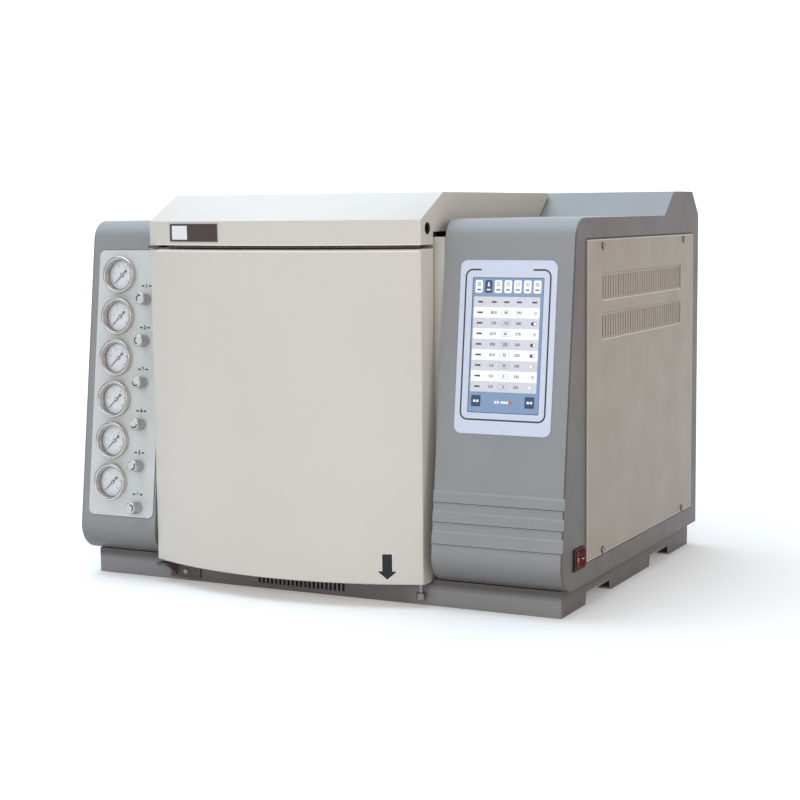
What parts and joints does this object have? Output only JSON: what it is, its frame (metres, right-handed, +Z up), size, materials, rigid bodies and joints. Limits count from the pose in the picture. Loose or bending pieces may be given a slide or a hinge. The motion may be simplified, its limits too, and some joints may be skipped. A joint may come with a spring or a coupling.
{
  "type": "gas chromatograph",
  "caption": "Bench gas chromatograph: bowed oven door and lid between a gauge-and-regulator bay and a bay with a touch display, on a folded plinth.",
  "frame": {"origin": "on the floor under the middle of the case, half way between the door's front and the gas fittings' ends", "axes": "+Z up, +X to the right seen from the front, -Y towards the user in front of the door"},
  "size_m": [0.656, 0.55, 0.4766],
  "materials": {
    "plinth_grey": "satin",
    "side_grey": "satin",
    "case_grey": "satin",
    "panel_pale": "satin",
    "cover_paint": "satin",
    "screw_steel": "satin",
    "overlay_lavender": "satin",
    "screen_glass": "gloss",
    "board_green": "satin",
    "zinc_box": "satin",
    "black_plastic": "satin",
    "warm_white_metal": "satin",
    "stainless": "brushed",
    "mineral_wool": "matte",
    "heater_sheath": "oxidised",
    "motor_casting": "satin",
    "column_amber": "satin",
    "brass": "satin",
    "chrome": "polished",
    "dial_white": "matte",
    "clear_glass": "gloss",
    "knob_steel": "satin",
    "needle_black": "matte",
    "cover_beige": "satin",
    "rope_seal": "woven",
    "red_plastic": "gloss"
  },
  "bodies": {
    "chassis": {"base_plinth": "plinth_grey", "left_side_panel": "side_grey", "right_side_panel": "side_grey", "left_fascia": "case_grey", "right_fascia": "case_grey", "bay_partitions": "case_grey", "rear_hood": "case_grey", "rear_panel": "side_grey", "gas_fittings": "brass", "control_panel": "panel_pale", "right_side_cover": "cover_paint", "panel_screws": "screw_steel", "display_overlay": "overlay_lavender", "display_module": "screen_glass", "main_board": "board_green", "power_supply": "zinc_box", "cooler_housing": "black_plastic", "rocker_housing": "black_plastic", "power_inlet": "black_plastic", "oven_front_frame": "warm_white_metal", "oven_liner": "stainless", "oven_insulation": "mineral_wool", "fan_baffle": "stainless", "heater_coil": "heater_sheath", "oven_motor": "motor_casting", "column_cage": "stainless", "capillary_column": "column_amber", "exhaust_duct": "zinc_box", "top_deck": "stainless", "injector_body": "stainless", "septum_nut": "screw_steel", "detector_body": "stainless", "door_hinge_brackets": "plinth_grey", "lid_hinges": "screw_steel", "gauge_cases": "chrome", "gauge_dials": "dial_white", "gauge_lenses": "clear_glass", "regulator_bodies": "brass"},
    "door": {"door_shell": "cover_beige", "door_inner_pan": "stainless", "door_seal": "rope_seal"},
    "latch_button": {"latch_button": "chrome"},
    "lid": {"lid_cover": "cover_beige"},
    "power_rocker": {"power_rocker": "red_plastic"},
    "oven_fan": {"oven_fan": "stainless"},
    "cooler_rotor": {"cooler_rotor": "black_plastic"},
    "exhaust_flap": {"exhaust_flap": "zinc_box"},
    "regulator_knob_1": {"regulator_knob_1": "knob_steel"},
    "gauge_needle_1": {"gauge_needle_1": "needle_black"},
    "regulator_knob_2": {"regulator_knob_2": "knob_steel"},
    "gauge_needle_2": {"gauge_needle_2": "needle_black"},
    "regulator_knob_3": {"regulator_knob_3": "knob_steel"},
    "gauge_needle_3": {"gauge_needle_3": "needle_black"},
    "regulator_knob_4": {"regulator_knob_4": "knob_steel"},
    "gauge_needle_4": {"gauge_needle_4": "needle_black"},
    "regulator_knob_5": {"regulator_knob_5": "knob_steel"},
    "gauge_needle_5": {"gauge_needle_5": "needle_black"},
    "regulator_knob_6": {"regulator_knob_6": "knob_steel"},
    "gauge_needle_6": {"gauge_needle_6": "needle_black"}
  },
  "joints": [
    {"name": "door_hinge", "type": "hinge", "parent": "chassis", "child": "door", "pos_m": [-0.203, -0.235, 0.22], "axis": [0, 0, -1], "range_deg": [0, 110]},
    {"name": "latch_push", "type": "slide", "parent": "door", "child": "latch_button", "axis": [0, 0, 1], "range_m": [0, 0.005], "stiffness_N_per_m": 300, "springref_m": -0.004},
    {"name": "lid_hinge", "type": "hinge", "parent": "chassis", "child": "lid", "pos_m": [0, 0.15, 0.4736], "axis": [-1, 0, 0], "range_deg": [0, 100]},
    {"name": "rocker_tilt", "type": "hinge", "parent": "chassis", "child": "power_rocker", "pos_m": [0.322, -0.18875, 0.0645], "axis": [0, 0, 1], "range_deg": [0, 18]},
    {"name": "oven_fan_spin", "type": "hinge", "parent": "chassis", "child": "oven_fan", "pos_m": [-0.024, 0, 0.217], "axis": [0, 1, 0], "continuous": true},
    {"name": "cooler_spin", "type": "hinge", "parent": "chassis", "child": "cooler_rotor", "pos_m": [0.246, 0.25, 0.33], "axis": [0, 1, 0], "continuous": true},
    {"name": "exhaust_flap_turn", "type": "hinge", "parent": "chassis", "child": "exhaust_flap", "pos_m": [0.062, 0.23, 0.317], "axis": [1, 0, 0], "range_deg": [0, 85]},
    {"name": "knob_1_turn", "type": "hinge", "parent": "chassis", "child": "regulator_knob_1", "pos_m": [-0.2396, -0.20411, 0.3486], "axis": [0, 0.9926, -0.1215], "range_deg": [0, 1350]},
    {"name": "needle_1_turn", "type": "hinge", "parent": "chassis", "child": "gauge_needle_1", "pos_m": [-0.2804, -0.20047, 0.3784], "axis": [0, 0.9926, -0.1215], "range_deg": [0, 270]},
    {"name": "knob_2_turn", "type": "hinge", "parent": "chassis", "child": "regulator_knob_2", "pos_m": [-0.2396, -0.21043, 0.297], "axis": [0, 0.9926, -0.1215], "range_deg": [0, 1350]},
    {"name": "needle_2_turn", "type": "hinge", "parent": "chassis", "child": "gauge_needle_2", "pos_m": [-0.2804, -0.20678, 0.3268], "axis": [0, 0.9926, -0.1215], "range_deg": [0, 270]},
    {"name": "knob_3_turn", "type": "hinge", "parent": "chassis", "child": "regulator_knob_3", "pos_m": [-0.2396, -0.21675, 0.2454], "axis": [0, 0.9926, -0.1215], "range_deg": [0, 1350]},
    {"name": "needle_3_turn", "type": "hinge", "parent": "chassis", "child": "gauge_needle_3", "pos_m": [-0.2804, -0.2131, 0.2752], "axis": [0, 0.9926, -0.1215], "range_deg": [0, 270]},
    {"name": "knob_4_turn", "type": "hinge", "parent": "chassis", "child": "regulator_knob_4", "pos_m": [-0.2396, -0.22307, 0.1938], "axis": [0, 0.9926, -0.1215], "range_deg": [0, 1350]},
    {"name": "needle_4_turn", "type": "hinge", "parent": "chassis", "child": "gauge_needle_4", "pos_m": [-0.2804, -0.21942, 0.2236], "axis": [0, 0.9926, -0.1215], "range_deg": [0, 270]},
    {"name": "knob_5_turn", "type": "hinge", "parent": "chassis", "child": "regulator_knob_5", "pos_m": [-0.2396, -0.22939, 0.1422], "axis": [0, 0.9926, -0.1215], "range_deg": [0, 1350]},
    {"name": "needle_5_turn", "type": "hinge", "parent": "chassis", "child": "gauge_needle_5", "pos_m": [-0.2804, -0.22574, 0.172], "axis": [0, 0.9926, -0.1215], "range_deg": [0, 270]},
    {"name": "knob_6_turn", "type": "hinge", "parent": "chassis", "child": "regulator_knob_6", "pos_m": [-0.2396, -0.23571, 0.0906], "axis": [0, 0.9926, -0.1215], "range_deg": [0, 1350]},
    {"name": "needle_6_turn", "type": "hinge", "parent": "chassis", "child": "gauge_needle_6", "pos_m": [-0.2804, -0.23206, 0.1204], "axis": [0, 0.9926, -0.1215], "range_deg": [0, 270]}
  ],
  "couplings": [
    {"joint": "needle_1_turn", "follows": "knob_1_turn", "ratio": 0.2},
    {"joint": "needle_2_turn", "follows": "knob_2_turn", "ratio": 0.2},
    {"joint": "needle_3_turn", "follows": "knob_3_turn", "ratio": 0.2},
    {"joint": "needle_4_turn", "follows": "knob_4_turn", "ratio": 0.2},
    {"joint": "needle_5_turn", "follows": "knob_5_turn", "ratio": 0.2},
    {"joint": "needle_6_turn", "follows": "knob_6_turn", "ratio": 0.2}
  ]
}
